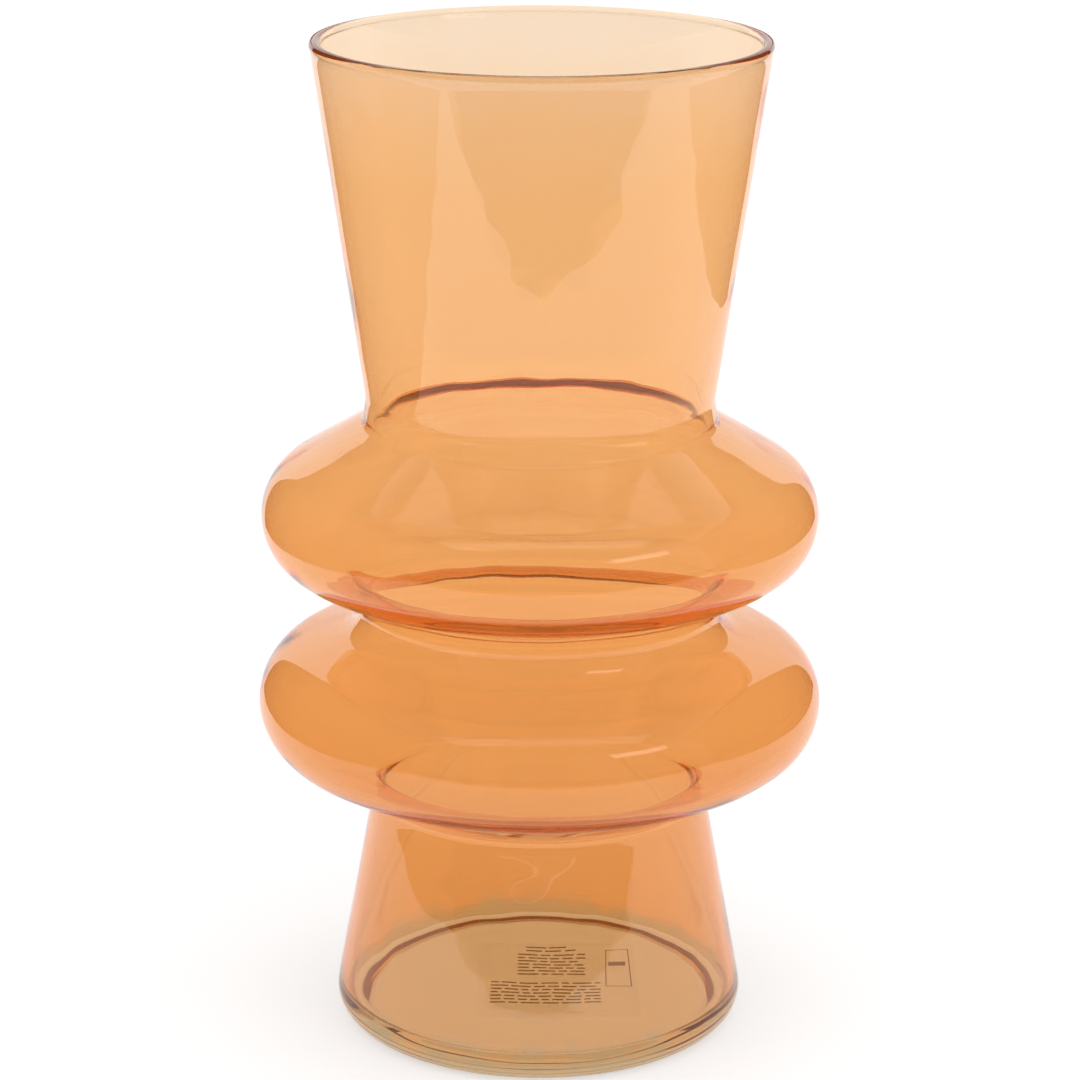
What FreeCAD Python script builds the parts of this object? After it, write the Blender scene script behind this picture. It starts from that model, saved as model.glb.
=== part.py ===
import FreeCAD, Part
import math
import os
import Sketcher

# Gourd vase: one mould-blown glass body with a flared neck, two swelling rings
# and a flared foot, an amber colour coat on its outside, and a clear label
# stuck up in the hollow of its foot. Lengths are in millimetres. +Z is up, and
# the origin is the centre of the ring that the vase stands on.

# Driving dimensions. Radii are those of the bare glass. A rise is how far a turn
# of the wall lies above the turn below it, or above the ground.
DIMENSIONS = {
    # whole vase
    "body_height": 300.0,
    "wall_gauge": 3.0,
    "floor_gauge": 6.3,
    # lip: a rolled bead, a little thicker than the wall
    "lip_radius": 66.8,
    "lip_swell": 0.15,
    # neck under the cone, at its narrowest
    "neck_radius": 51.6,
    "neck_rise": 5.6,
    "neck_fillet": 10.0,
    # sharp fold where the neck meets the upper ring
    "shoulder_radius": 52.3,
    "shoulder_rise": 29.6,
    "shoulder_fillet": 2.2,
    # upper ring, at its widest
    "upper_ring_radius": 82.9,
    "upper_ring_rise": 28.8,
    "upper_ring_curve": 17.7,
    # waist: the round groove between the rings, at its narrowest
    "waist_radius": 54.0,
    "waist_rise": 29.1,
    "waist_fillet": 9.0,
    # lower ring, at its widest
    "lower_ring_radius": 84.5,
    "lower_ring_rise": 30.3,
    "lower_ring_curve": 18.0,
    # ankle at the top of the foot, at its narrowest
    "ankle_radius": 50.3,
    "ankle_rise": 70.6,
    "ankle_fillet": 2.6,
    # heel: the turn from the foot's wall to the underside, worn flat at its foot
    "heel_radius": 61.8,
    "heel_curve": 8.2,
    "heel_flat_depth": 0.4,
    "floor_corner_radius": 2.0,
    "standing_ring_width": 1.8,
    # punt: the shallow hollow under the floor
    "punt_depth": 1.8,
    "punt_curve": 10.0,
    # colour coat, and how far its ends stay from the lip's top and the ground
    "coat_gauge": 0.2,
    "coat_top_gap": 0.4,
    "coat_foot_gap": 0.8,
    # label stuck up in the punt
    "label_width": 50.0,
    "label_length": 56.0,
    "label_corner_radius": 3.0,
    "label_gauge": 0.2,
    "label_offset_x": 6.0,
    "label_offset_y": 3.0,
}

# Places and sizes that follow from them, as the sketches' expressions.
BEAD_RADIUS = "Vase.wall_gauge / 2 + Vase.lip_swell"
LIP_CENTRE = (f"Vase.lip_radius - ({BEAD_RADIUS})", f"Vase.body_height - ({BEAD_RADIUS})")
HEEL_CENTRE = ("Vase.heel_radius - Vase.heel_curve", "Vase.heel_curve - Vase.heel_flat_depth")
FLOOR_HEIGHT = "Vase.punt_depth + Vase.floor_gauge"
COAT_TOP = "Vase.body_height - Vase.coat_top_gap"

# The turns of the wall, from the neck down to the foot: the name of its
# dimensions, and whether the turn bulges outwards.
WALL_TURNS = {
    "neck": False,
    "shoulder": False,
    "upper_ring": True,
    "waist": False,
    "lower_ring": True,
    "ankle": False,
}

# Names that the sketches use for the ends and the centre of an edge.
START, END, CENTRE = 1, 2, 3
ORIGIN_POINT = (-1, 1)
LEVEL_AXIS = -1
UPRIGHT_AXIS = -2

FULL_TURN = 360.0


def make_sheet(doc):
    """Spreadsheet with one named cell for each driving dimension."""
    sheet = doc.addObject("Spreadsheet::Sheet", "Vase")
    for row, (alias, size) in enumerate(DIMENSIONS.items(), start=1):
        sheet.set(f"A{row}", alias)
        sheet.set(f"B{row}", str(size))
        sheet.setAlias(f"B{row}", alias)
    doc.recompute()
    return sheet


def turn_formulas(name, bulges):
    """Centre and radius of one turn of the bare wall, as expressions."""
    names = list(WALL_TURNS)
    height = " + ".join(f"Vase.{turn}_rise" for turn in names[names.index(name):])
    if bulges:
        radius = f"Vase.{name}_curve"
        return f"Vase.{name}_radius - {radius}", height, radius
    radius = f"Vase.{name}_fillet"
    return f"Vase.{name}_radius + {radius}", height, radius


def touch_points(upper, lower):
    """Ends of the straight that joins two turns of one face of the wall.

    A turn is (centre, reach). Its reach is how far outside its centre the face
    lies, and is negative where the centre lies outside the face.
    """
    (upper_centre, upper_reach), (lower_centre, lower_reach) = upper, lower
    run = (lower_centre[0] - upper_centre[0], lower_centre[1] - upper_centre[1])
    swing = math.acos((upper_reach - lower_reach) / math.hypot(*run))
    outward = math.atan2(run[1], run[0]) + swing
    return [
        (centre[0] + reach * math.cos(outward), centre[1] + reach * math.sin(outward))
        for centre, reach in (upper, lower)
    ]


class Section:
    """A half section of the vase, sketched in the plane of its axis."""

    def __init__(self, body, sheet, name):
        self.body = body
        self.sheet = sheet
        self.sketch = body.newObject("Sketcher::SketchObject", name)
        origin_features = body.Origin.OriginFeatures
        plane = next(feature for feature in origin_features if feature.Role == "XZ_Plane")
        self.sketch.AttachmentSupport = (plane, [""])
        self.sketch.MapMode = "FlatFace"
        self.driven = 0

    def value(self, formula):
        """Present value of an expression of the dimensions."""
        return float(self.sheet.evalExpression(formula))

    def point(self, formulas):
        return tuple(self.value(formula) for formula in formulas)

    def line(self, start, end):
        """Straight edge between two (radius, height) points."""
        edge = Part.LineSegment(FreeCAD.Vector(*start, 0), FreeCAD.Vector(*end, 0))
        return self.sketch.addGeometry(edge, False)

    def arc(self, centre, first, second):
        """Arc of less than half a turn. Returns it and which end is which."""
        angles = [math.atan2(end[1] - centre[1], end[0] - centre[0]) for end in (first, second)]
        turn = (angles[1] - angles[0]) % math.tau
        circle = Part.Circle()
        circle.Center = FreeCAD.Vector(*centre, 0)
        circle.Radius = math.dist(centre, first)
        if turn < math.pi:
            edge = Part.ArcOfCircle(circle, angles[0], angles[0] + turn)
            return self.sketch.addGeometry(edge, False), START, END
        edge = Part.ArcOfCircle(circle, angles[1], angles[1] + math.tau - turn)
        return self.sketch.addGeometry(edge, False), END, START

    def rule(self, kind, *where):
        """Constraint with no value."""
        self.sketch.addConstraint(Sketcher.Constraint(kind, *where))

    def drive(self, formula, kind, *where):
        """Constraint whose value follows an expression of the dimensions."""
        self.driven += 1
        name = f"size_{self.driven}"
        constraint = Sketcher.Constraint(kind, *where, self.value(formula))
        index = self.sketch.addConstraint(constraint)
        self.sketch.renameConstraint(index, name)
        self.sketch.setExpression(f"Constraints.{name}", formula)

    def place(self, edge, point, formulas):
        """Fixes one point of an edge by its radius and its height."""
        radius, height = formulas
        self.drive(radius, "DistanceX", *ORIGIN_POINT, edge, point)
        self.drive(height, "DistanceY", *ORIGIN_POINT, edge, point)

    def wall_face(self, offset, lip_turn, foot_turn):
        """One face of the wall, from the lip down to the heel.

        offset is how far it stands outside the bare glass. lip_turn and
        foot_turn are where its first and last straights start out. Returns
        those two straights, whose far ends are still free.
        """
        turns = [lip_turn]
        for name, bulges in WALL_TURNS.items():
            *centre, radius = turn_formulas(name, bulges)
            side = 1 if bulges else -1
            turns.append((self.point(centre), side * self.value(radius) + self.value(offset)))
        turns.append(foot_turn)
        ends = [touch_points(upper, lower) for upper, lower in zip(turns, turns[1:])]
        straights = [self.line(start, end) for start, end in ends]
        for number, (name, bulges) in enumerate(WALL_TURNS.items()):
            *centre, radius = turn_formulas(name, bulges)
            arc, top, bottom = self.arc(turns[number + 1][0], ends[number][1], ends[number + 1][0])
            self.rule("Tangent", straights[number], END, arc, top)
            self.rule("Tangent", arc, bottom, straights[number + 1], START)
            self.place(arc, CENTRE, centre)
            side = "+" if bulges else "-"
            self.drive(f"{radius} {side} ({offset})", "Radius", arc)
        return straights[0], straights[-1]

    def revolve(self, name):
        """Turns the section once round the vase's axis."""
        turned = self.body.newObject("PartDesign::Revolution", name)
        turned.Profile = self.sketch
        turned.ReferenceAxis = (self.sketch, ["V_Axis"])
        turned.Angle = FULL_TURN
        return turned


def make_body(doc, name):
    body = doc.addObject("PartDesign::Body", name)
    body.Label = name
    body.Placement = FreeCAD.Placement()
    return body


def draw_lip(section, outer_cone, inner_cone):
    """Rolled bead over the top of the wall, centred on the wall's thickness."""
    centre = section.point(LIP_CENTRE)
    radius = section.value(BEAD_RADIUS)
    half_wall = section.value("Vase.wall_gauge / 2")
    tops = [section.sketch.Geometry[line].StartPoint for line in (outer_cone, inner_cone)]
    lean = math.atan2(tops[0].y - tops[1].y, tops[0].x - tops[1].x)
    dip = math.acos(half_wall / radius)
    circle = Part.Circle()
    circle.Center = FreeCAD.Vector(*centre, 0)
    circle.Radius = radius
    edge = Part.ArcOfCircle(circle, lean - dip, lean + math.pi + dip)
    bead = section.sketch.addGeometry(edge, False)
    section.place(bead, CENTRE, LIP_CENTRE)
    section.drive(BEAD_RADIUS, "Radius", bead)
    section.rule("Coincident", bead, START, outer_cone, START)
    section.rule("Coincident", bead, END, inner_cone, START)
    for line in (outer_cone, inner_cone):
        section.drive("Vase.wall_gauge / 2", "Distance", bead, CENTRE, line)


def draw_base(section, outer_foot, inner_foot):
    """Heel, standing ring, punt, floor and the floor's inner corner."""
    heel_centre = section.point(HEEL_CENTRE)
    heel_curve = section.value("Vase.heel_curve")
    heel_top = section.sketch.Geometry[outer_foot].EndPoint
    ring_outside = (heel_centre[0] + math.sqrt(heel_curve**2 - heel_centre[1]**2), 0)
    ring_inside = (ring_outside[0] - section.value("Vase.standing_ring_width"), 0)
    punt_depth = section.value("Vase.punt_depth")
    punt_curve = section.value("Vase.punt_curve")
    punt_swing = math.acos(1 - punt_depth / punt_curve)
    roof_edge = (ring_inside[0] - punt_curve * math.sin(punt_swing), punt_depth)
    punt_centre = (roof_edge[0], punt_depth - punt_curve)
    floor_height = section.value(FLOOR_HEIGHT)
    corner = section.sketch.Geometry[inner_foot].EndPoint

    heel, heel_start, heel_end = section.arc(heel_centre, (heel_top.x, heel_top.y), ring_outside)
    ring = section.line(ring_outside, ring_inside)
    side, side_start, side_end = section.arc(punt_centre, ring_inside, roof_edge)
    roof = section.line(roof_edge, (0, punt_depth))
    axis = section.line((0, punt_depth), (0, floor_height))
    corner_centre = floor_corner_centre(section)
    floor_edge = (corner_centre[0], floor_height)
    floor = section.line((0, floor_height), floor_edge)
    bend, bend_start, bend_end = section.arc(corner_centre, floor_edge, (corner.x, corner.y))

    section.rule("Tangent", outer_foot, END, heel, heel_start)
    section.rule("Coincident", heel, heel_end, ring, START)
    section.rule("PointOnObject", ring, START, LEVEL_AXIS)
    section.rule("Coincident", ring, END, side, side_start)
    section.rule("Tangent", side, side_end, roof, START)
    section.rule("Coincident", roof, END, axis, START)
    section.rule("Coincident", axis, END, floor, START)
    section.rule("Tangent", floor, END, bend, bend_start)
    section.rule("Tangent", bend, bend_end, inner_foot, END)
    for level in (ring, roof, floor):
        section.rule("Horizontal", level)
    for edge, point in ((roof, END), (floor, START)):
        section.rule("PointOnObject", edge, point, UPRIGHT_AXIS)
    section.place(heel, CENTRE, HEEL_CENTRE)
    section.drive("Vase.heel_curve", "Radius", heel)
    section.drive("Vase.heel_curve - Vase.wall_gauge", "Distance", heel, CENTRE, inner_foot)
    section.drive("Vase.standing_ring_width", "Distance", ring)
    section.drive("Vase.punt_curve", "Radius", side)
    section.drive("Vase.punt_depth", "DistanceY", *ORIGIN_POINT, roof, END)
    section.drive(FLOOR_HEIGHT, "DistanceY", *ORIGIN_POINT, floor, START)
    section.drive("Vase.floor_corner_radius", "Radius", bend)


def floor_corner_centre(section):
    """Where the corner between the floor and the wall inside is centred."""
    ankle_radius, ankle_height, ankle_fillet = turn_formulas("ankle", False)
    ankle = (section.point((ankle_radius, ankle_height)), -section.value(ankle_fillet))
    heel = (section.point(HEEL_CENTRE), section.value("Vase.heel_curve"))
    top, bottom = touch_points(ankle, heel)
    inset = section.value("Vase.wall_gauge + Vase.floor_corner_radius")
    height = section.value(f"{FLOOR_HEIGHT} + Vase.floor_corner_radius")
    lean = (top[0] - bottom[0]) / (top[1] - bottom[1])
    radius = bottom[0] + lean * (height - bottom[1]) - inset * math.hypot(1, lean)
    return radius, height


def make_glass_body(doc, sheet):
    """The blown body: wall, lip, heel, floor and punt in one piece of glass."""
    section = Section(make_body(doc, "glass_body"), sheet, "glass_section")
    half_wall = section.value("Vase.wall_gauge / 2")
    lip_centre = section.point(LIP_CENTRE)
    heel_turn = (section.point(HEEL_CENTRE), section.value("Vase.heel_curve"))
    corner_turn = (floor_corner_centre(section), section.value("Vase.floor_corner_radius"))
    outer_cone, outer_foot = section.wall_face("0", (lip_centre, half_wall), heel_turn)
    inner_cone, inner_foot = section.wall_face(
        "-Vase.wall_gauge", (lip_centre, -half_wall), corner_turn
    )
    draw_lip(section, outer_cone, inner_cone)
    draw_base(section, outer_foot, inner_foot)
    return section.revolve("glass_turned")


def circle_point(centre, radius, angle):
    return centre[0] + radius * math.cos(angle), centre[1] + radius * math.sin(angle)


def coat_end_angle(section, centre, radius, end_height):
    """Angle at which the coat ends on its turn round the lip or the heel."""
    rise = section.value(end_height) - section.point(centre)[1]
    return math.asin(rise / section.value(f"{radius} + Vase.coat_gauge"))


def draw_coat_face(section, offset):
    """One face of the coat, from high on the lip to low on the heel.

    offset is how far it stands outside the bare glass. Returns its arcs on the
    lip and on the heel, each with the name of its free end.
    """
    lip_centre = section.point(LIP_CENTRE)
    heel_centre = section.point(HEEL_CENTRE)
    lip_reach = f"Vase.wall_gauge / 2 + {offset}"
    lip_radius = f"{BEAD_RADIUS} + {offset}"
    heel_radius = f"Vase.heel_curve + {offset}"
    cone, foot = section.wall_face(
        offset,
        (lip_centre, section.value(lip_reach)),
        (heel_centre, section.value(heel_radius)),
    )
    cone_top = section.sketch.Geometry[cone].StartPoint
    foot_end = section.sketch.Geometry[foot].EndPoint
    lean = math.atan2(cone_top.y - lip_centre[1], cone_top.x - lip_centre[0])
    dip = math.acos(section.value(lip_reach) / section.value(lip_radius))
    lip_angle = coat_end_angle(section, LIP_CENTRE, BEAD_RADIUS, COAT_TOP)
    heel_angle = coat_end_angle(section, HEEL_CENTRE, "Vase.heel_curve", "Vase.coat_foot_gap")
    lip_arc, lip_start, lip_end = section.arc(
        lip_centre,
        circle_point(lip_centre, section.value(lip_radius), lean - dip),
        circle_point(lip_centre, section.value(lip_radius), lip_angle),
    )
    heel_arc, heel_start, heel_end = section.arc(
        heel_centre,
        (foot_end.x, foot_end.y),
        circle_point(heel_centre, section.value(heel_radius), heel_angle),
    )
    section.rule("Coincident", lip_arc, lip_start, cone, START)
    section.rule("Tangent", foot, END, heel_arc, heel_start)
    section.place(lip_arc, CENTRE, LIP_CENTRE)
    section.place(heel_arc, CENTRE, HEEL_CENTRE)
    section.drive(lip_radius, "Radius", lip_arc)
    section.drive(heel_radius, "Radius", heel_arc)
    section.drive(lip_reach, "Distance", lip_arc, CENTRE, cone)
    return (lip_arc, lip_end), (heel_arc, heel_end)


def draw_coat_end(section, outer, inner, height):
    """Edge of the coat, square to both of its faces where these end."""
    ends = []
    for arc, end in (outer, inner):
        drawn = section.sketch.Geometry[arc]
        spot = drawn.StartPoint if end == START else drawn.EndPoint
        ends.append((spot.x, spot.y))
    edge = section.line(*ends)
    section.rule("Coincident", edge, START, *outer)
    section.rule("Coincident", edge, END, *inner)
    section.rule("PointOnObject", outer[0], CENTRE, edge)
    section.drive(height, "DistanceY", *ORIGIN_POINT, edge, START)


def make_colour_coat(doc, sheet):
    """The sprayed film on the outside, from high on the lip to under the heel."""
    section = Section(make_body(doc, "colour_coat"), sheet, "coat_section")
    outer_lip, outer_heel = draw_coat_face(section, "Vase.coat_gauge")
    inner_lip, inner_heel = draw_coat_face(section, "0")
    draw_coat_end(section, outer_lip, inner_lip, COAT_TOP)
    draw_coat_end(section, outer_heel, inner_heel, "Vase.coat_foot_gap")
    return section.revolve("coat_turned")


def make_base_label(doc, sheet):
    """Clear label with rounded corners, flat against the roof of the punt."""
    body = make_body(doc, "base_label")
    sketch = body.newObject("Sketcher::SketchObject", "label_outline")
    plane = next(feature for feature in body.Origin.OriginFeatures if feature.Role == "XY_Plane")
    sketch.AttachmentSupport = (plane, [""])
    sketch.MapMode = "FlatFace"
    sketch.setExpression("AttachmentOffset.Base.z", "Vase.punt_depth - Vase.label_gauge")
    half_width = sheet.label_width / 2
    half_length = sheet.label_length / 2
    corners = [
        FreeCAD.Vector(sheet.label_offset_x + across, sheet.label_offset_y + along, 0)
        for across, along in (
            (-half_width, -half_length),
            (half_width, -half_length),
            (half_width, half_length),
            (-half_width, half_length),
        )
    ]
    sides = [
        sketch.addGeometry(Part.LineSegment(corner, corners[(number + 1) % len(corners)]), False)
        for number, corner in enumerate(corners)
    ]
    for number, edge in enumerate(sides):
        following = sides[(number + 1) % len(sides)]
        sketch.addConstraint(Sketcher.Constraint("Coincident", edge, END, following, START))
        level = "Vertical" if number % 2 else "Horizontal"
        sketch.addConstraint(Sketcher.Constraint(level, edge))
    front, right, back, left = sides
    driven = (
        ("width", "Vase.label_width", ("DistanceX", front, START, front, END)),
        ("length", "Vase.label_length", ("DistanceY", right, START, right, END)),
        ("right", "Vase.label_offset_x + Vase.label_width / 2",
         ("DistanceX", *ORIGIN_POINT, right, END)),
        ("back", "Vase.label_offset_y + Vase.label_length / 2",
         ("DistanceY", *ORIGIN_POINT, right, END)),
    )
    for name, formula, where in driven:
        constraint = Sketcher.Constraint(*where, float(sheet.evalExpression(formula)))
        sketch.renameConstraint(sketch.addConstraint(constraint), name)
        sketch.setExpression(f"Constraints.{name}", formula)
    pad = body.newObject("PartDesign::Pad", "label_sheet")
    pad.Profile = sketch
    pad.setExpression("Length", "Vase.label_gauge")
    doc.recompute()
    upright = [
        f"Edge{number}" for number, edge in enumerate(pad.Shape.Edges, start=1)
        if edge.BoundBox.ZLength > max(edge.BoundBox.XLength, edge.BoundBox.YLength)
    ]
    rounded = body.newObject("PartDesign::Fillet", "label_corners")
    rounded.Base = (pad, upright)
    rounded.setExpression("Radius", "Vase.label_corner_radius")
    return rounded


def check(doc):
    """Stops if any object failed or any sub-part isn't one valid solid."""
    for item in doc.Objects:
        if {"Invalid", "Error"} & set(item.State):
            raise RuntimeError(f"{item.Name} failed: {item.State}")
    for body in doc.findObjects("PartDesign::Body"):
        shape = body.Shape
        if shape.isNull() or not shape.isValid() or len(shape.Solids) != 1:
            raise RuntimeError(f"{body.Label} isn't one valid solid")


def main():
    doc = FreeCAD.newDocument("gourd_vase")
    sheet = make_sheet(doc)
    make_glass_body(doc, sheet)
    make_colour_coat(doc, sheet)
    make_base_label(doc, sheet)
    doc.recompute()
    check(doc)
    os.makedirs("parts", exist_ok=True)
    for body in doc.findObjects("PartDesign::Body"):
        body.Shape.exportStep(f"parts/{body.Label}.step")
        bounds = body.Shape.optimalBoundingBox(True, False)
        print(f"{body.Label}: volume {body.Shape.Volume:.0f} mm3, "
              f"{bounds.XLength:.2f} x {bounds.YLength:.2f} x {bounds.ZLength:.2f} mm")


main()
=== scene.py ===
"""Dresses the gourd vase: blown glass, its amber coat and the label under its floor."""

import logging
import math
from dataclasses import dataclass, field
from enum import Enum
from random import Random
from typing import Any

import bmesh
import bpy
from mathutils import Matrix, Vector, noise


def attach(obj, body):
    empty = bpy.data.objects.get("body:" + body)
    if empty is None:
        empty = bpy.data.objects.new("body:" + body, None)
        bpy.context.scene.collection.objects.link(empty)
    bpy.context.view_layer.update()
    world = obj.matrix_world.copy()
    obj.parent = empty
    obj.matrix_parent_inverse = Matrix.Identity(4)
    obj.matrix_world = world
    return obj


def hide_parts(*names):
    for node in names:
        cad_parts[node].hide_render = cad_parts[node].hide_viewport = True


logging.basicConfig(level=logging.INFO, format="%(message)s")
log = logging.getLogger("vase")

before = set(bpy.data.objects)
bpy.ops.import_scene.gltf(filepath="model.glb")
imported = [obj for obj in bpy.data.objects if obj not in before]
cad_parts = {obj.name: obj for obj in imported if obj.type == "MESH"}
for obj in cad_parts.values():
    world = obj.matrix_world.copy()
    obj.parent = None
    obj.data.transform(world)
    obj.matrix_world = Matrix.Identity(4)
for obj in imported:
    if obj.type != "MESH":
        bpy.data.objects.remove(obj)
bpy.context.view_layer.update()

MM = 0.001
ROOT = "root"
WHITE = "#FFFFFF"
# The table lies this far under the vase, in mm, so that no two faces share a plane.
TABLE_DROP = 0.05
UP = Vector((0, 0, 1))
# About this axis, a positive turn goes from outward to upward in the section.
SECTION_AXIS = Vector((0, -1, 0))
# Points that lie closer than this, in mm, are one point.
SAME_PLACE = 1e-4
# A wall whose normal rises by more than this share is level.
LEVEL_SHARE = 0.95


# Materials


def linear(hex_colour: str) -> tuple[float, float, float, float]:
    """Turns an sRGB hex colour to linear light.

    Args:
        hex_colour: the colour as "#RRGGBB".

    Returns:
        Red, green and blue in linear light, and an alpha of 1.
    """
    shares = [int(hex_colour[place:place + 2], 16) / 255 for place in (1, 3, 5)]
    light = [
        share / 12.92 if share <= 0.04045 else ((share + 0.055) / 1.055) ** 2.4
        for share in shares
    ]
    return (*light, 1.0)


def add_node(
    tree: bpy.types.NodeTree,
    kind: str,
    settings: dict[str, Any] | None = None,
    links: dict[str | int, bpy.types.NodeSocket] | None = None,
) -> bpy.types.Node:
    """Adds one node with its settings and what is plugged into it.

    Args:
        tree: the node tree that gets the node.
        kind: Blender's name for the node's type.
        settings: values by the name of a socket or of a property of the node.
        links: output sockets of other nodes, by the input that each goes into.

    Returns:
        The new node.
    """
    node = tree.nodes.new(kind)
    for name, value in (settings or {}).items():
        if name in node.inputs:
            node.inputs[name].default_value = value
        else:
            setattr(node, name, value)
    for name, socket in (links or {}).items():
        tree.links.new(socket, node.inputs[name])
    return node


def new_material(name: str) -> bpy.types.Material:
    """Makes a material with an empty node tree.

    Args:
        name: its name.

    Returns:
        The material.
    """
    material = bpy.data.materials.new(name)
    material.use_nodes = True
    material.node_tree.nodes.clear()
    return material


@dataclass(frozen=True)
class SodaLimeGlass:
    """Blown soda-lime glass: clear, with the faintest green.

    Fire-polishing leaves no grain, so the eye sees sharp, white reflections.
    """

    name: str = "Soda_Lime_Glass"
    tint: str = "#FCFDFB"
    ior: float = 1.5

    def material(self) -> bpy.types.Material:
        """Makes the glass's material.

        Returns:
            The material.
        """
        material = new_material(self.name)
        tree = material.node_tree
        glass = add_node(
            tree, "ShaderNodeBsdfGlass",
            {"Color": linear(self.tint), "Roughness": 0.0, "IOR": self.ior},
        )
        add_node(tree, "ShaderNodeOutputMaterial", links={"Surface": glass.outputs[0]})
        return material


@dataclass(frozen=True)
class BondedFace:
    """Where coat and glass touch: both bend light alike, so nothing shows."""

    name: str = "Bonded_Face"

    def material(self) -> bpy.types.Material:
        """Makes a surface that light passes unchanged.

        Returns:
            The material.
        """
        material = new_material(self.name)
        tree = material.node_tree
        through = add_node(tree, "ShaderNodeBsdfTransparent")
        add_node(tree, "ShaderNodeOutputMaterial", links={"Surface": through.outputs[0]})
        return material


@dataclass(frozen=True)
class SprayedAmber:
    """Translucent lacquer sprayed on the outside, denser towards the foot.

    Light that glances off its outside stays white, and light that crosses it,
    or that is turned back inside it, is dyed amber. The pigment gives it a
    trace of milkiness, and it lies a little thicker in some places. On the
    heel its tint is also darkened, as painted shade.
    """

    name: str = "Sprayed_Amber_Lacquer"
    # Heights in mm, each with the lacquer's tint there. The lowest stop, on the heel, is the
    # lacquer's greyer tint there, darkened as painted shade for the dim light under the heel.
    stops: tuple[tuple[float, str], ...] = (
        (4.0, "#DDCDB2"),
        (12.0, "#F8C691"),
        (100.0, "#F9CA97"),
        (160.0, "#FCD1A2"),
        (205.0, "#FEDAB3"),
        (265.0, "#FFDDB7"),
        (292.0, "#FFE4CA"),
    )
    haze_colour: str = "#E2A466"
    haze_share: float = 0.045
    mottle_size: float = 14.0
    mottle_share: float = 0.03
    ior: float = 1.5

    def tint(self, tree: bpy.types.NodeTree) -> bpy.types.NodeSocket:
        """Adds the nodes that give the lacquer's colour.

        Args:
            tree: the material's node tree.

        Returns:
            The socket that gives the colour.
        """
        place = add_node(tree, "ShaderNodeTexCoord").outputs["Object"]
        height = add_node(tree, "ShaderNodeSeparateXYZ", links={0: place}).outputs["Z"]
        top = self.stops[-1][0]
        rise = add_node(
            tree, "ShaderNodeMapRange", {"From Max": top * MM}, {"Value": height}
        )
        mottle = add_node(
            tree, "ShaderNodeTexNoise",
            {"Scale": 1 / (self.mottle_size * MM), "Detail": 1.0},
            {"Vector": place},
        )
        spread = add_node(
            tree, "ShaderNodeMapRange",
            {"To Min": -self.mottle_share, "To Max": self.mottle_share},
            {"Value": mottle.outputs[0]},
        )
        blend = add_node(
            tree, "ShaderNodeMath", {"operation": "ADD", "use_clamp": True},
            {0: rise.outputs[0], 1: spread.outputs[0]},
        )
        ramp = add_node(tree, "ShaderNodeValToRGB", links={"Fac": blend.outputs[0]})
        bands = ramp.color_ramp.elements
        bands.remove(bands[1])
        bands[0].position = self.stops[0][0] / top
        bands[0].color = linear(self.stops[0][1])
        for level, tint in self.stops[1:]:
            bands.new(level / top).color = linear(tint)
        return ramp.outputs["Color"]

    def clear_faces(
        self, tree: bpy.types.NodeTree, tint: bpy.types.NodeSocket
    ) -> tuple[bpy.types.Node, bpy.types.Node]:
        """Adds the shaders of lacquer without milkiness.

        Args:
            tree: the material's node tree.
            tint: the socket that gives the lacquer's colour.

        Returns:
            The shader for light from outside, and the one for light from inside.
        """
        crossing = add_node(
            tree, "ShaderNodeBsdfRefraction", {"IOR": self.ior, "Roughness": 0.0}, {"Color": tint}
        )
        gloss = add_node(
            tree, "ShaderNodeBsdfGlossy", {"Color": linear(WHITE), "Roughness": 0.0}
        )
        share = add_node(tree, "ShaderNodeFresnel", {"IOR": self.ior})
        outside = add_node(
            tree, "ShaderNodeMixShader",
            links={0: share.outputs[0], 1: crossing.outputs[0], 2: gloss.outputs[0]},
        )
        inside = add_node(
            tree, "ShaderNodeBsdfGlass", {"IOR": self.ior, "Roughness": 0.0}, {"Color": tint}
        )
        return outside, inside

    def material(self) -> bpy.types.Material:
        """Makes the lacquer's material, which tells its two sides apart.

        Returns:
            The material.
        """
        material = new_material(self.name)
        tree = material.node_tree
        outside, inside = self.clear_faces(tree, self.tint(tree))
        pigment = linear(self.haze_colour)
        matt = add_node(tree, "ShaderNodeBsdfDiffuse", {"Color": pigment})
        lit_through = add_node(tree, "ShaderNodeBsdfTranslucent", {"Color": pigment})
        hazy_outside, hazy_inside = (
            add_node(
                tree, "ShaderNodeMixShader", {"Fac": self.haze_share},
                {1: clear.outputs[0], 2: milky.outputs[0]},
            )
            for clear, milky in ((outside, matt), (inside, lit_through))
        )
        side = add_node(tree, "ShaderNodeNewGeometry")
        surface = add_node(
            tree, "ShaderNodeMixShader",
            links={
                0: side.outputs["Backfacing"], 1: hazy_outside.outputs[0], 2: hazy_inside.outputs[0]
            },
        )
        add_node(tree, "ShaderNodeOutputMaterial", links={"Surface": surface.outputs[0]})
        return material


@dataclass(frozen=True)
class ClearLabelFilm:
    """Clear polypropylene label, cast smooth and satin.

    The eye sees through it, under a very thin veil.
    """

    name: str = "Clear_Polypropylene"
    colour: str = "#F1EEE6"
    veil_share: float = 0.04
    roughness: float = 0.3

    def material(self) -> bpy.types.Material:
        """Makes the film's material.

        Returns:
            The material.
        """
        material = new_material(self.name)
        tree = material.node_tree
        through = add_node(tree, "ShaderNodeBsdfTransparent")
        haze = add_node(
            tree, "ShaderNodeBsdfPrincipled",
            {"Base Color": linear(self.colour), "Roughness": self.roughness},
        )
        surface = add_node(
            tree, "ShaderNodeMixShader", {"Fac": self.veil_share},
            {1: through.outputs[0], 2: haze.outputs[0]},
        )
        add_node(tree, "ShaderNodeOutputMaterial", links={"Surface": surface.outputs[0]})
        return material


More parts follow.
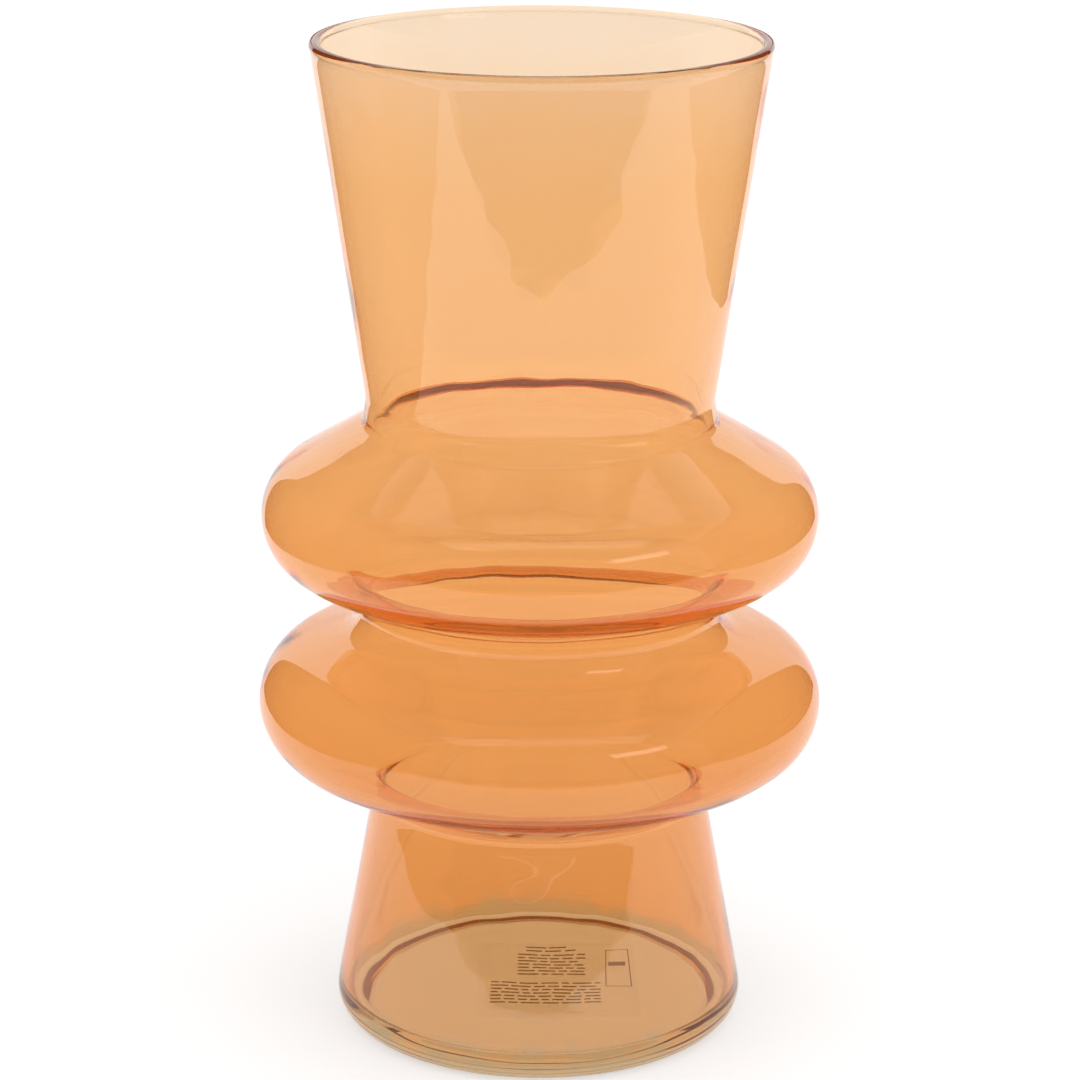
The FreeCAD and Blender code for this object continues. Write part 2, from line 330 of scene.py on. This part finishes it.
@dataclass(frozen=True)
class Plain:
    """One opaque finish of even colour, such as printing ink or painted board."""

    name: str
    colour: str
    roughness: float
    gloss: float = 0.5
    glow: float = 0.0

    def material(self) -> bpy.types.Material:
        """Makes the finish's material.

        Returns:
            The material.
        """
        material = new_material(self.name)
        tree = material.node_tree
        shader = add_node(
            tree, "ShaderNodeBsdfPrincipled",
            {
                "Base Color": linear(self.colour),
                "Roughness": self.roughness,
                "Specular IOR Level": self.gloss,
                "Emission Color": linear(WHITE),
                "Emission Strength": self.glow,
            },
        )
        add_node(tree, "ShaderNodeOutputMaterial", links={"Surface": shader.outputs[0]})
        return material


# The turned form


class Side(Enum):
    """Which way a turn of the wall bends."""

    BULGE = 1
    HOLLOW = -1


@dataclass(frozen=True)
class Turn:
    """A turn of the wall's outside in half section, in mm."""

    radius: float
    height: float
    bend: float
    side: Side

    def centre(self) -> Vector:
        """Returns the turn's centre in the plane of the section."""
        return Vector((self.radius - self.side.value * self.bend, 0, self.height))

    def reach(self, offset: float) -> float:
        """Returns how far a face at this offset lies outside the turn's centre."""
        return self.side.value * self.bend + offset


@dataclass(frozen=True)
class Stop:
    """Where a face of the wall starts or ends: a centre and a reach, in mm."""

    middle: Vector
    out: float

    def centre(self) -> Vector:
        """Returns the centre."""
        return self.middle

    def reach(self, offset: float) -> float:
        """Returns the reach, which already holds the offset."""
        return self.out


@dataclass(frozen=True)
class VaseForm:
    """Sizes of the blown form, in mm, as the CAD model has them."""

    height: float = 300.0
    wall: float = 3.0
    floor: float = 6.3
    lip_radius: float = 66.8
    lip_swell: float = 0.15
    turns: tuple[Turn, ...] = (
        Turn(51.6, 194.0, 10.0, Side.HOLLOW),
        Turn(52.3, 188.4, 2.2, Side.HOLLOW),
        Turn(82.9, 158.8, 17.7, Side.BULGE),
        Turn(54.0, 130.0, 9.0, Side.HOLLOW),
        Turn(84.5, 100.9, 18.0, Side.BULGE),
        Turn(50.3, 70.6, 2.6, Side.HOLLOW),
    )
    heel_radius: float = 61.8
    heel_curve: float = 8.2
    heel_flat_depth: float = 0.4
    floor_corner: float = 2.0
    standing_ring: float = 1.8
    punt_depth: float = 1.8
    punt_curve: float = 10.0
    coat: float = 0.2
    coat_top_gap: float = 0.4
    coat_foot_gap: float = 0.8

    @property
    def bead(self) -> float:
        """Radius of the lip's bead."""
        return self.wall / 2 + self.lip_swell

    @property
    def lip_centre(self) -> Vector:
        """Centre of the lip's bead in the section."""
        return Vector((self.lip_radius - self.bead, 0, self.height - self.bead))

    @property
    def heel_centre(self) -> Vector:
        """Centre of the heel's curve in the section."""
        return Vector(
            (self.heel_radius - self.heel_curve, 0, self.heel_curve - self.heel_flat_depth)
        )

    @property
    def floor_top(self) -> float:
        """Height of the floor inside."""
        return self.punt_depth + self.floor

    def bead_edge(self, offset: float) -> Vector:
        """Finds where the lip's bead meets the outside of the cone.

        Args:
            offset: how far the face stands outside the bare glass.

        Returns:
            The point of the section.
        """
        reach = self.wall / 2 + offset
        cone_top = touch(Stop(self.lip_centre, reach), self.turns[0], offset)[0]
        spoke = cone_top - self.lip_centre
        dip = math.acos(reach / (self.bead + offset))
        return on_circle(
            self.lip_centre, self.bead + offset, math.atan2(spoke.z, spoke.x) - dip
        )

    def coat_end(self, centre: Vector, curve: float, height: float) -> float:
        """Angle on the lip's or the heel's curve at which the coat ends.

        Args:
            centre: the curve's centre.
            curve: the curve's radius on the bare glass.
            height: the height at which the coat's outside ends.

        Returns:
            The angle from the outward direction, in radians.
        """
        return math.asin((height - centre.z) / (curve + self.coat))

    @property
    def coat_top_angle(self) -> float:
        """Angle on the lip's bead at which the coat ends."""
        return self.coat_end(self.lip_centre, self.bead, self.height - self.coat_top_gap)

    @property
    def coat_foot_angle(self) -> float:
        """Angle on the heel at which the coat ends."""
        return self.coat_end(self.heel_centre, self.heel_curve, self.coat_foot_gap)

    def corner_centre(self) -> Vector:
        """Finds the centre of the turn between the floor and the wall inside.

        Returns:
            The centre, in the plane of the section.
        """
        ankle = self.turns[-1]
        heel = Stop(self.heel_centre, self.heel_curve)
        top, bottom = touch(ankle, heel, 0)
        lean = (top.x - bottom.x) / (top.z - bottom.z)
        height = self.floor_top + self.floor_corner
        inset = (self.wall + self.floor_corner) * math.hypot(1, lean)
        return Vector((bottom.x + lean * (height - bottom.z) - inset, 0, height))


def touch(upper: Turn | Stop, lower: Turn | Stop, offset: float) -> tuple[Vector, Vector]:
    """Finds the straight that joins two turns of one face of the wall.

    Args:
        upper: the turn at the straight's top.
        lower: the turn at its foot.
        offset: how far the face stands outside the bare glass.

    Returns:
        The straight's two ends.
    """
    run = lower.centre() - upper.centre()
    swing = math.acos((upper.reach(offset) - lower.reach(offset)) / run.length)
    outward = math.atan2(run.z, run.x) + swing
    square = Vector((math.cos(outward), 0, math.sin(outward)))
    return (
        upper.centre() + upper.reach(offset) * square,
        lower.centre() + lower.reach(offset) * square,
    )


def on_circle(centre: Vector, radius: float, angle: float) -> Vector:
    """Returns the point of a circle in the section at an angle from outward."""
    return centre + radius * Vector((math.cos(angle), 0, math.sin(angle)))


class Contact(Enum):
    """Whether a run of a section is open to the air, or bonded to another piece.

    The number is that of the piece's material for it.
    """

    OPEN = 0
    BONDED = 1


@dataclass
class Lathe:
    """Draws a half section with a pen, run by run, and turns each about the axis.

    All its lengths are in mm until the piece is finished.
    """

    quarter_steps: int = 50
    straight_step: float = 2.6
    curve_step: float = 1.3
    curve_turn: float = math.radians(9)
    crease: float = math.radians(35)
    mesh: bmesh.types.BMesh = field(default_factory=bmesh.new)
    tip: bmesh.types.BMVert | None = None
    run: list[bmesh.types.BMVert] = field(default_factory=list)
    runs: list[tuple[list[bmesh.types.BMVert], Contact]] = field(default_factory=list)

    def start(self, point: Vector) -> None:
        """Puts the pen down at a point of the section."""
        self.tip = self.mesh.verts.new(point)
        self.run = [self.tip]

    def move(self, vertex: bmesh.types.BMVert) -> None:
        """Takes a new vertex as the pen's tip."""
        self.tip = vertex
        self.run.append(vertex)

    def straight(self, end: Vector) -> None:
        """Draws a straight.

        Args:
            end: the point of the section where it ends.
        """
        path = end - self.tip.co
        steps = max(1, round(path.length / self.straight_step))
        for _ in range(steps):
            grown = bmesh.ops.extrude_vert_indiv(self.mesh, verts=[self.tip])
            bmesh.ops.translate(self.mesh, verts=grown["verts"], vec=path / steps)
            self.move(grown["verts"][0])

    def curve(self, centre: Vector, end: Vector) -> None:
        """Draws an arc of less than half a turn.

        Args:
            centre: the arc's centre.
            end: the point of the section where it ends.
        """
        spokes = [self.tip.co - centre, end - centre]
        first, last = (math.atan2(spoke.z, spoke.x) for spoke in spokes)
        angle = (last - first + math.pi) % math.tau - math.pi
        self.swing(centre, angle)

    def swing(self, centre: Vector, angle: float) -> None:
        """Draws an arc.

        Args:
            centre: the arc's centre.
            angle: how far it goes round, in radians, upwards from outwards.
        """
        length = abs(angle) * (self.tip.co - centre).length
        steps = max(2, math.ceil(max(length / self.curve_step, abs(angle) / self.curve_turn)))
        for _ in range(steps):
            spun = bmesh.ops.spin(
                self.mesh, geom=[self.tip], cent=centre, axis=SECTION_AXIS,
                angle=angle / steps, steps=1,
            )
            self.move(next(
                part for part in spun["geom_last"] if isinstance(part, bmesh.types.BMVert)
            ))

    def wall(self, turns: list[Turn | Stop], offset: float) -> None:
        """Draws a face of the wall from the middle of its first straight's start.

        Args:
            turns: the stops and turns that the face passes, in the pen's order.
            offset: how far the face stands outside the bare glass.
        """
        downwards = turns[0].centre().z > turns[-1].centre().z
        order = turns if downwards else turns[::-1]
        straights = [touch(upper, lower, offset) for upper, lower in zip(order, order[1:])]
        if not downwards:
            straights = [ends[::-1] for ends in straights[::-1]]
        for number, (start, end) in enumerate(straights):
            if number:
                self.curve(turns[number].centre(), start)
            self.straight(end)

    def end_run(self, contact: Contact) -> None:
        """Ends a run of the section, with its contact, and starts the next there."""
        self.runs.append((self.run, contact))
        self.start(self.tip.co)

    def turn(self) -> None:
        """Turns every run a quarter round the axis, mirrors it twice and closes the form."""
        for run, contact in self.runs:
            known = set(self.mesh.faces)
            members = set(run)
            edges = [edge for edge in self.mesh.edges if members.issuperset(edge.verts)]
            bmesh.ops.spin(
                self.mesh, geom=[*run, *edges], cent=(0, 0, 0), axis=UP,
                angle=math.tau / 4, steps=self.quarter_steps,
            )
            for face in set(self.mesh.faces) - known:
                face.material_index = contact.value
        for axis in ("X", "Y"):
            geometry = [*self.mesh.verts, *self.mesh.edges, *self.mesh.faces]
            bmesh.ops.mirror(self.mesh, geom=geometry, axis=axis, merge_dist=SAME_PLACE)
        bmesh.ops.remove_doubles(self.mesh, verts=self.mesh.verts, dist=SAME_PLACE)
        loose = [vertex for vertex in self.mesh.verts if not vertex.link_faces]
        bmesh.ops.delete(self.mesh, geom=loose, context="VERTS")
        bmesh.ops.recalc_face_normals(self.mesh, faces=self.mesh.faces)

    def finish(self, name: str) -> bpy.types.Object:
        """Smooths the turned form, but for its creases, and makes it an object.

        Args:
            name: the piece's name.

        Returns:
            The finished object.
        """
        for face in self.mesh.faces:
            face.smooth = True
        for edge in self.mesh.edges:
            edge.smooth = len(edge.link_faces) == 2 and edge.calc_face_angle(0) < self.crease
        return to_object(self.mesh, name)


def to_object(mesh: bmesh.types.BMesh, name: str) -> bpy.types.Object:
    """Turns a bmesh drawn in mm to an object in metres, and frees it.

    Args:
        mesh: the drawn form.
        name: the piece's name.

    Returns:
        The object, linked to the scene.
    """
    bmesh.ops.scale(mesh, vec=(MM, MM, MM), verts=mesh.verts)
    data = bpy.data.meshes.new(name)
    mesh.to_mesh(data)
    mesh.free()
    piece = bpy.data.objects.new(name, data)
    bpy.context.scene.collection.objects.link(piece)
    return piece


@dataclass(frozen=True)
class Ripple:
    """Slight waves that blowing leaves in the wall, in mm.

    Streaks run up the wall, and rounder waves lie between them.
    """

    streak_width: float = 17.0
    streak_length: float = 110.0
    streak_depth: float = 0.05
    wave_size: float = 26.0
    wave_depth: float = 0.12
    dimple_size: float = 9.0
    dimple_depth: float = 0.05
    floor_size: float = 15.0
    floor_depth: float = 0.25
    calm_foot: float = 14.0
    calm_lip: float = 294.0
    fade: float = 12.0
    outside_seed: float = 3.7
    inside_seed: float = 11.3

    def depth(self, place: Vector, seed: float) -> float:
        """How far the wall stands proud at a place.

        Args:
            place: a point of the wall, in mm.
            seed: which of the wall's two faces it is.

        Returns:
            The height of the waves there, in mm.
        """
        from_ends = min(place.z - self.calm_foot, self.calm_lip - place.z)
        if from_ends <= 0:
            return 0.0
        shift = Vector((seed, 2 * seed, 3 * seed))
        streak = Vector((
            place.x / self.streak_width, place.y / self.streak_width, place.z / self.streak_length
        ))
        waves = self.streak_depth * noise.noise(streak + shift)
        waves += self.wave_depth * noise.noise(place / self.wave_size - shift)
        waves += self.dimple_depth * noise.noise(place / self.dimple_size + shift)
        return min(1.0, from_ends / self.fade) * waves

    def floor(self, place: Vector) -> float:
        """Returns how far the floor inside stands proud at a place, in mm."""
        return self.floor_depth * noise.noise(place / self.floor_size)


def ripple(mesh: bmesh.types.BMesh, waves: Ripple, outside: bool | None = None) -> None:
    """Lays the blown wall's waves over a turned form, which is in mm.

    Args:
        mesh: the form, with its normals outwards.
        waves: the waves.
        outside: True where every face is on the outside of the wall, and None
            where the sides are told apart by the way that they face.
    """
    mesh.normal_update()
    moves = []
    for vertex in mesh.verts:
        facing = vertex.normal.x * vertex.co.x + vertex.normal.y * vertex.co.y
        out = facing > 0 if outside is None else outside
        away = vertex.normal if facing > 0 else -vertex.normal
        seed = waves.outside_seed if out else waves.inside_seed
        moves.append(away * waves.depth(vertex.co, seed))
        if outside is None and vertex.normal.z > LEVEL_SHARE and vertex.co.z < waves.calm_foot:
            moves[-1] = vertex.normal * waves.floor(vertex.co)
    for vertex, move in zip(mesh.verts, moves):
        vertex.co += move


def dress(
    piece: bpy.types.Object,
    materials: list[bpy.types.Material],
    replaced: str | None,
) -> None:
    """Gives a piece its materials and its place in the assembly.

    Args:
        piece: the finished piece.
        materials: its materials, in the order of its faces' numbers.
        replaced: the CAD node that it stands for, if any.
    """
    for material in materials:
        piece.data.materials.append(material)
    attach(piece, ROOT)
    if replaced:
        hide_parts(replaced)
    log.info("%s: %d faces", piece.name, len(piece.data.polygons))


@dataclass
class GlassBody:
    """The blown body: wall, lip, heel, floor and punt in one piece of glass."""

    form: VaseForm
    waves: Ripple
    glass: SodaLimeGlass = SodaLimeGlass()
    bonded: BondedFace = BondedFace()

    def draw(self, lathe: Lathe) -> None:
        """Draws the section from the floor's middle, over the lip, to the punt's.

        Args:
            lathe: the lathe that it is drawn on.
        """
        form = self.form
        half = form.wall / 2
        corner = form.corner_centre()
        lip, heel = form.lip_centre, form.heel_centre
        inner = [Stop(corner, form.floor_corner), *form.turns[::-1], Stop(lip, -half)]
        outer = [Stop(lip, half), *form.turns, Stop(heel, form.heel_curve)]
        foot_start = touch(inner[1], inner[0], -form.wall)[1]
        inner_top = touch(inner[-1], inner[-2], -form.wall)[0]

        lathe.start(Vector((0, 0, form.floor_top)))
        lathe.straight(Vector((corner.x, 0, form.floor_top)))
        lathe.curve(corner, foot_start)
        lathe.wall(inner, -form.wall)
        self.draw_lip(lathe, inner_top)
        lathe.end_run(Contact.OPEN)
        lathe.curve(lip, form.bead_edge(0))
        lathe.wall(outer, 0)
        lathe.curve(heel, on_circle(heel, form.heel_curve, form.coat_foot_angle))
        lathe.end_run(Contact.BONDED)
        self.draw_underside(lathe)
        lathe.end_run(Contact.OPEN)

    def draw_lip(self, lathe: Lathe, inner_top: Vector) -> None:
        """Draws the bead's bare part, from the wall inside to the coat's edge.

        Args:
            lathe: the lathe, with its pen where the wall inside ends.
            inner_top: the end of the wall inside, beside the bead's centre.
        """
        form = self.form
        lip = form.lip_centre
        spoke = inner_top - lip
        dip = math.acos(form.wall / 2 / form.bead)
        start = math.atan2(spoke.z, spoke.x) % math.tau + dip
        lathe.curve(lip, on_circle(lip, form.bead, start))
        lathe.swing(lip, form.coat_top_angle - start)

    def draw_underside(self, lathe: Lathe) -> None:
        """Draws the bare heel, the standing ring and the punt.

        Args:
            lathe: the lathe, with its pen at the coat's lower edge.
        """
        form = self.form
        heel = form.heel_centre
        ring = heel.x + math.sqrt(form.heel_curve**2 - heel.z**2)
        inside = ring - form.standing_ring
        swing = math.acos(1 - form.punt_depth / form.punt_curve)
        roof = inside - form.punt_curve * math.sin(swing)
        lathe.curve(heel, Vector((ring, 0, 0)))
        lathe.straight(Vector((inside, 0, 0)))
        lathe.curve(
            Vector((roof, 0, form.punt_depth - form.punt_curve)),
            Vector((roof, 0, form.punt_depth)),
        )
        lathe.straight(Vector((0, 0, form.punt_depth)))

    def build(self) -> bpy.types.Object:
        """Makes the piece.

        Returns:
            The finished, dressed piece.
        """
        lathe = Lathe()
        self.draw(lathe)
        lathe.turn()
        ripple(lathe.mesh, self.waves)
        piece = lathe.finish("blown_glass")
        dress(piece, [self.glass.material(), self.bonded.material()], "glass_body")
        return piece


@dataclass
class ColourCoat:
    """The sprayed film on the outside, from high on the lip to under the heel."""

    form: VaseForm
    waves: Ripple
    clearance: float = 0.03
    lacquer: SprayedAmber = SprayedAmber()
    bonded: BondedFace = BondedFace()

    def draw_face(self, lathe: Lathe, offset: float, downwards: bool) -> None:
        """Draws one face of the coat.

        Args:
            lathe: the lathe, with its pen at the face's first end.
            offset: how far the face stands outside the bare glass.
            downwards: True from the lip to the heel, and False the other way.
        """
        form = self.form
        lip, heel = form.lip_centre, form.heel_centre
        turns = [
            Stop(lip, form.wall / 2 + offset), *form.turns, Stop(heel, form.heel_curve + offset)
        ]
        foot_end = touch(turns[-2], turns[-1], offset)[1]
        if downwards:
            lathe.curve(lip, form.bead_edge(offset))
            lathe.wall(turns, offset)
            lathe.curve(heel, self.foot_edge(offset))
        else:
            lathe.curve(heel, foot_end)
            lathe.wall(turns[::-1], offset)
            lathe.curve(lip, self.top_edge(offset))

    def top_edge(self, offset: float) -> Vector:
        """Returns the end of a face of the coat on the lip."""
        form = self.form
        return on_circle(form.lip_centre, form.bead + offset, form.coat_top_angle)

    def foot_edge(self, offset: float) -> Vector:
        """Returns the end of a face of the coat under the heel."""
        form = self.form
        return on_circle(form.heel_centre, form.heel_curve + offset, form.coat_foot_angle)

    def build(self) -> bpy.types.Object:
        """Makes the piece.

        Returns:
            The finished, dressed piece.
        """
        lathe = Lathe()
        lathe.start(self.top_edge(self.clearance))
        lathe.straight(self.top_edge(self.form.coat))
        self.draw_face(lathe, self.form.coat, True)
        lathe.straight(self.foot_edge(self.clearance))
        lathe.end_run(Contact.OPEN)
        self.draw_face(lathe, self.clearance, False)
        lathe.end_run(Contact.BONDED)
        lathe.turn()
        ripple(lathe.mesh, self.waves, True)
        piece = lathe.finish("amber_film")
        dress(piece, [self.lacquer.material(), self.bonded.material()], "colour_coat")
        return piece


@dataclass(frozen=True)
class Block:
    """A block of printed rows, placed from the label's middle, in mm."""

    left: float
    front: float
    width: float
    rows: int


@dataclass
class BaseLabel:
    """The clear label up in the punt, and the plain bars printed on it (mm)."""

    form: VaseForm
    width: float = 50.0
    length: float = 56.0
    corner: float = 3.0
    corner_steps: int = 8
    gauge: float = 0.2
    offset_x: float = 6.0
    offset_y: float = 3.0
    clearance: float = 0.03
    ink_gauge: float = 0.02
    blocks: tuple[Block, ...] = (
        Block(left=-9.5, front=22.6, width=14.5, rows=2),
        Block(left=-12.0, front=4.4, width=20.0, rows=7),
        Block(left=-21.0, front=-17.4, width=34.0, rows=7),
    )
    row_pitch: float = 2.5
    word_height: float = 0.9
    word_gap: float = 1.0
    word_lengths: tuple[float, float] = (2.0, 6.0)
    box_left: float = 14.8
    box_front: float = -4.8
    box_width: float = 8.6
    box_length: float = 28.0
    box_line: float = 0.35
    box_bar_left: float = 16.0
    box_bar_front: float = 11.0
    box_bar_length: float = 6.0
    box_bar_height: float = 3.0
    seed: int = 5
    film: ClearLabelFilm = ClearLabelFilm()
    ink: Plain = Plain("Printing_Ink", "#4B3A2C", 0.6)

    def build_sheet(self) -> bpy.types.Object:
        """Makes the film.

        Returns:
            The finished, dressed piece.
        """
        mesh = bmesh.new()
        bmesh.ops.create_cube(mesh, size=1.0)
        bmesh.ops.scale(mesh, vec=(self.width, self.length, self.gauge), verts=mesh.verts)
        upright = [
            edge for edge in mesh.edges if abs(edge.verts[0].co.z - edge.verts[1].co.z) > SAME_PLACE
        ]
        bmesh.ops.bevel(
            mesh, geom=upright, offset=self.corner, segments=self.corner_steps, profile=0.5,
            affect="EDGES", material=-1,
        )
        middle = self.form.punt_depth - self.clearance - self.gauge / 2
        bmesh.ops.translate(mesh, vec=(self.offset_x, self.offset_y, middle), verts=mesh.verts)
        piece = to_object(mesh, "label_sheet")
        dress(piece, [self.film.material()], "base_label")
        return piece

    def bar(
        self, mesh: bmesh.types.BMesh, left: float, front: float, size: tuple[float, float]
    ) -> None:
        """Adds one printed bar.

        Args:
            mesh: the print so far.
            left: the bar's left end, from the label's middle.
            front: its front edge, from the label's middle.
            size: its length and its height.
        """
        level = self.form.punt_depth - 2 * self.clearance - self.gauge - self.ink_gauge / 2
        place = Matrix.Translation((
            self.offset_x + left + size[0] / 2, self.offset_y + front + size[1] / 2, level
        ))
        scale = Matrix.Diagonal((*size, self.ink_gauge, 1))
        bmesh.ops.create_cube(mesh, size=1.0, matrix=place @ scale)

    def print_row(self, mesh: bmesh.types.BMesh, block: Block, front: float, dice: Random) -> None:
        """Adds one row of bars, each as long as a word.

        Args:
            mesh: the print so far.
            block: the block that the row belongs to.
            front: the row's front edge, from the label's middle.
            dice: where the words' lengths come from.
        """
        left, end = block.left, block.left + block.width
        while left + self.word_lengths[0] < end:
            length = min(dice.uniform(*self.word_lengths), end - left)
            self.bar(mesh, left, front, (length, self.word_height))
            left += length + self.word_gap

    def print_box(self, mesh: bmesh.types.BMesh) -> None:
        """Adds the outlined box at the right of the label, and the bar in it.

        Args:
            mesh: the print so far.
        """
        line = self.box_line
        for across in (0, self.box_width - line):
            self.bar(mesh, self.box_left + across, self.box_front, (line, self.box_length))
        inner = self.box_width - 2 * line
        for along in (0, self.box_length - line):
            self.bar(mesh, self.box_left + line, self.box_front + along, (inner, line))
        size = (self.box_bar_length, self.box_bar_height)
        self.bar(mesh, self.box_bar_left, self.box_bar_front, size)

    def build_print(self) -> bpy.types.Object:
        """Makes the printed bars.

        Returns:
            The finished, dressed piece.
        """
        mesh = bmesh.new()
        dice = Random(self.seed)
        for block in self.blocks:
            for row in range(block.rows):
                self.print_row(mesh, block, block.front + row * self.row_pitch, dice)
        self.print_box(mesh)
        piece = to_object(mesh, "label_print")
        dress(piece, [self.ink.material()], None)
        return piece


# The studio


@dataclass(frozen=True)
class Softbox:
    """A rectangular light, in metres, that points at the vase."""

    name: str
    place: Vector
    size: tuple[float, float]
    power: float
    target: Vector = Vector((0, 0, 0.15))

    def build(self) -> bpy.types.Object:
        """Makes the light.

        Returns:
            The light, linked to the scene.
        """
        light = bpy.data.lights.new(self.name, "AREA")
        light.shape = "RECTANGLE"
        light.size, light.size_y = self.size
        light.energy = self.power
        stand = bpy.data.objects.new(self.name, light)
        stand.location = self.place
        stand.rotation_euler = (self.target - self.place).to_track_quat("-Z", "Y").to_euler()
        bpy.context.scene.collection.objects.link(stand)
        return stand


@dataclass(frozen=True)
class Board:
    """A flat rectangle of the stage, level or upright, in metres and degrees.

    It turns about one of its corners. Its size is how far it reaches from there:
    right, and back or up.
    """

    name: str
    corner: tuple[float, float, float]
    size: tuple[float, float]
    turn: float = 0.0
    upright: bool = False

    def build(self, material: bpy.types.Material) -> bpy.types.Object:
        """Makes the board.

        Args:
            material: what it is made of.

        Returns:
            The object, linked to the scene.
        """
        mesh = bmesh.new()
        place = (
            Matrix.Translation(self.corner)
            @ Matrix.Rotation(math.radians(self.turn), 4, "Z")
            @ Matrix.Rotation(math.pi / 2 if self.upright else 0.0, 4, "X")
            @ Matrix.Translation((self.size[0] / 2, self.size[1] / 2, 0))
            @ Matrix.Diagonal((*self.size, 1, 1))
        )
        bmesh.ops.create_grid(mesh, x_segments=1, y_segments=1, size=0.5, matrix=place)
        data = bpy.data.meshes.new(self.name)
        mesh.to_mesh(data)
        mesh.free()
        data.materials.append(material)
        board = bpy.data.objects.new(self.name, data)
        bpy.context.scene.collection.objects.link(board)
        return board


@dataclass
class Studio:
    """White table and surroundings, dark cards and walls, and lights.

    Lengths are in metres. The camera stands where the photograph was taken
    from.
    """

    camera_place: Vector = field(default_factory=lambda: Vector((0, -1.04181, 0.462635)))
    # The camera's pitch and roll are in radians, and its lens and sensor in mm.
    camera_pitch: float = 0.292106
    camera_roll: float = 0.0035
    lens: float = 121.181
    sensor: float = 36.0
    # The room's brightness, and the depths of a direction between which it changes.
    front_level: float = 0.15
    back_level: float = 1.04
    front_start: float = -0.45
    back_start: float = 0.3
    # The rises of a direction between which the room darkens to the share overhead.
    white_below: float = 0.62
    dark_above: float = 0.8
    overhead_share: float = 0.2
    table_light: float = 0.6
    white_board: Plain = Plain("Matt_White_Board", "#F4F4F4", 0.9, 0.0, 0.5)
    felt: Plain = Plain("Dark_Felt", "#303030", 1.0, 0.0)
    table: Board = Board("table", (-4.0, -4.0, -TABLE_DROP * MM), (8.0, 8.0))
    cards: tuple[Board, ...] = (
        Board("front_card", (0.06, -0.48, MM), (-3.0, -3.0)),
        Board("right_front_card", (-0.29, -0.531, MM), (3.0, -3.0), 8.3),
        Board("left_wall", (-0.555, -0.48, MM), (1.0, 0.7), 76.6, upright=True),
        Board("right_wall", (0.80, -0.30, MM), (1.03, 0.8), 111.3, upright=True),
    )
    boxes: tuple[Softbox, ...] = (
        Softbox("left_top_box", Vector((-0.48, 0.57, 1.7)), (0.55, 0.5), 0.4),
        Softbox("right_top_box", Vector((0.46, 0.57, 1.7)), (0.55, 0.5), 0.4),
        Softbox("front_box", Vector((0.05, -0.62, 1.7)), (1.9, 0.42), 2.0),
        Softbox("right_box", Vector((0.78, -0.80, 0.9)), (0.5, 0.16), 0.6),
    )
    bounces: int = 24
    see_through: int = 96

    def build_camera(self) -> None:
        """Sets up the camera."""
        data = bpy.data.cameras.new("view")
        data.lens = self.lens
        data.sensor_width = self.sensor
        camera = bpy.data.objects.new("view", data)
        camera.matrix_world = (
            Matrix.Translation(self.camera_place)
            @ Matrix.Rotation(math.pi / 2 - self.camera_pitch, 4, "X")
            @ Matrix.Rotation(self.camera_roll, 4, "Z")
        )
        bpy.context.scene.collection.objects.link(camera)
        bpy.context.scene.camera = camera

    def build_world(self) -> None:
        """Lights the room: white behind the vase, darker overhead and in front.

        Matt surfaces are lit evenly, so that the table stays white.
        """
        world = bpy.data.worlds.new("white_room")
        world.use_nodes = True
        bpy.context.scene.world = world
        tree = world.node_tree
        tree.nodes.clear()
        way = add_node(tree, "ShaderNodeTexCoord").outputs["Generated"]
        parts = add_node(tree, "ShaderNodeSeparateXYZ", links={0: way}).outputs
        level = add_node(
            tree, "ShaderNodeMapRange",
            {
                "From Min": self.front_start, "From Max": self.back_start,
                "To Min": self.front_level, "To Max": self.back_level,
            },
            {"Value": parts["Y"]},
        )
        share = add_node(
            tree, "ShaderNodeMapRange",
            {
                "From Min": self.white_below, "From Max": self.dark_above,
                "To Min": 1.0, "To Max": self.overhead_share,
            },
            {"Value": parts["Z"]},
        )
        shown = add_node(
            tree, "ShaderNodeMath", {"operation": "MULTIPLY"},
            {0: level.outputs[0], 1: share.outputs[0]},
        )
        path = add_node(tree, "ShaderNodeLightPath").outputs
        glassy = add_node(
            tree, "ShaderNodeMath", {"operation": "ADD"},
            {0: path["Is Glossy Ray"], 1: path["Is Transmission Ray"]},
        )
        seen = add_node(
            tree, "ShaderNodeMath", {"operation": "ADD", "use_clamp": True},
            {0: glassy.outputs[0], 1: path["Is Camera Ray"]},
        )
        strength = add_node(
            tree, "ShaderNodeMapRange", {"To Min": self.table_light},
            {"Value": seen.outputs[0], "To Max": shown.outputs[0]},
        )
        light = add_node(
            tree, "ShaderNodeBackground", {"Color": linear(WHITE)},
            {"Strength": strength.outputs[0]},
        )
        add_node(tree, "ShaderNodeOutputWorld", links={"Surface": light.outputs[0]})

    def build_boards(self) -> None:
        """Lays the table, and stands the dark cards that only the glass shows."""
        self.table.build(self.white_board.material())
        felt = self.felt.material()
        for card in self.cards:
            board = card.build(felt)
            board.visible_camera = False
            board.visible_diffuse = False
            board.visible_shadow = False
            # Light turned back inside the glass shows the level cards, too.
            board.visible_transmission = not card.upright

    def build(self) -> None:
        """Builds the whole studio."""
        self.build_camera()
        self.build_world()
        self.build_boards()
        for box in self.boxes:
            box.build()
        scene = bpy.context.scene
        scene.view_settings.view_transform = "Standard"
        scene.cycles.max_bounces = self.bounces
        scene.cycles.transmission_bounces = self.bounces
        scene.cycles.glossy_bounces = self.bounces
        scene.cycles.transparent_max_bounces = self.see_through


def main() -> None:
    """Builds every piece and the studio."""
    form = VaseForm()
    waves = Ripple()
    GlassBody(form, waves).build()
    ColourCoat(form, waves).build()
    label = BaseLabel(form)
    label.build_sheet()
    label.build_print()
    Studio().build()


if __name__ == "__main__":
    main()
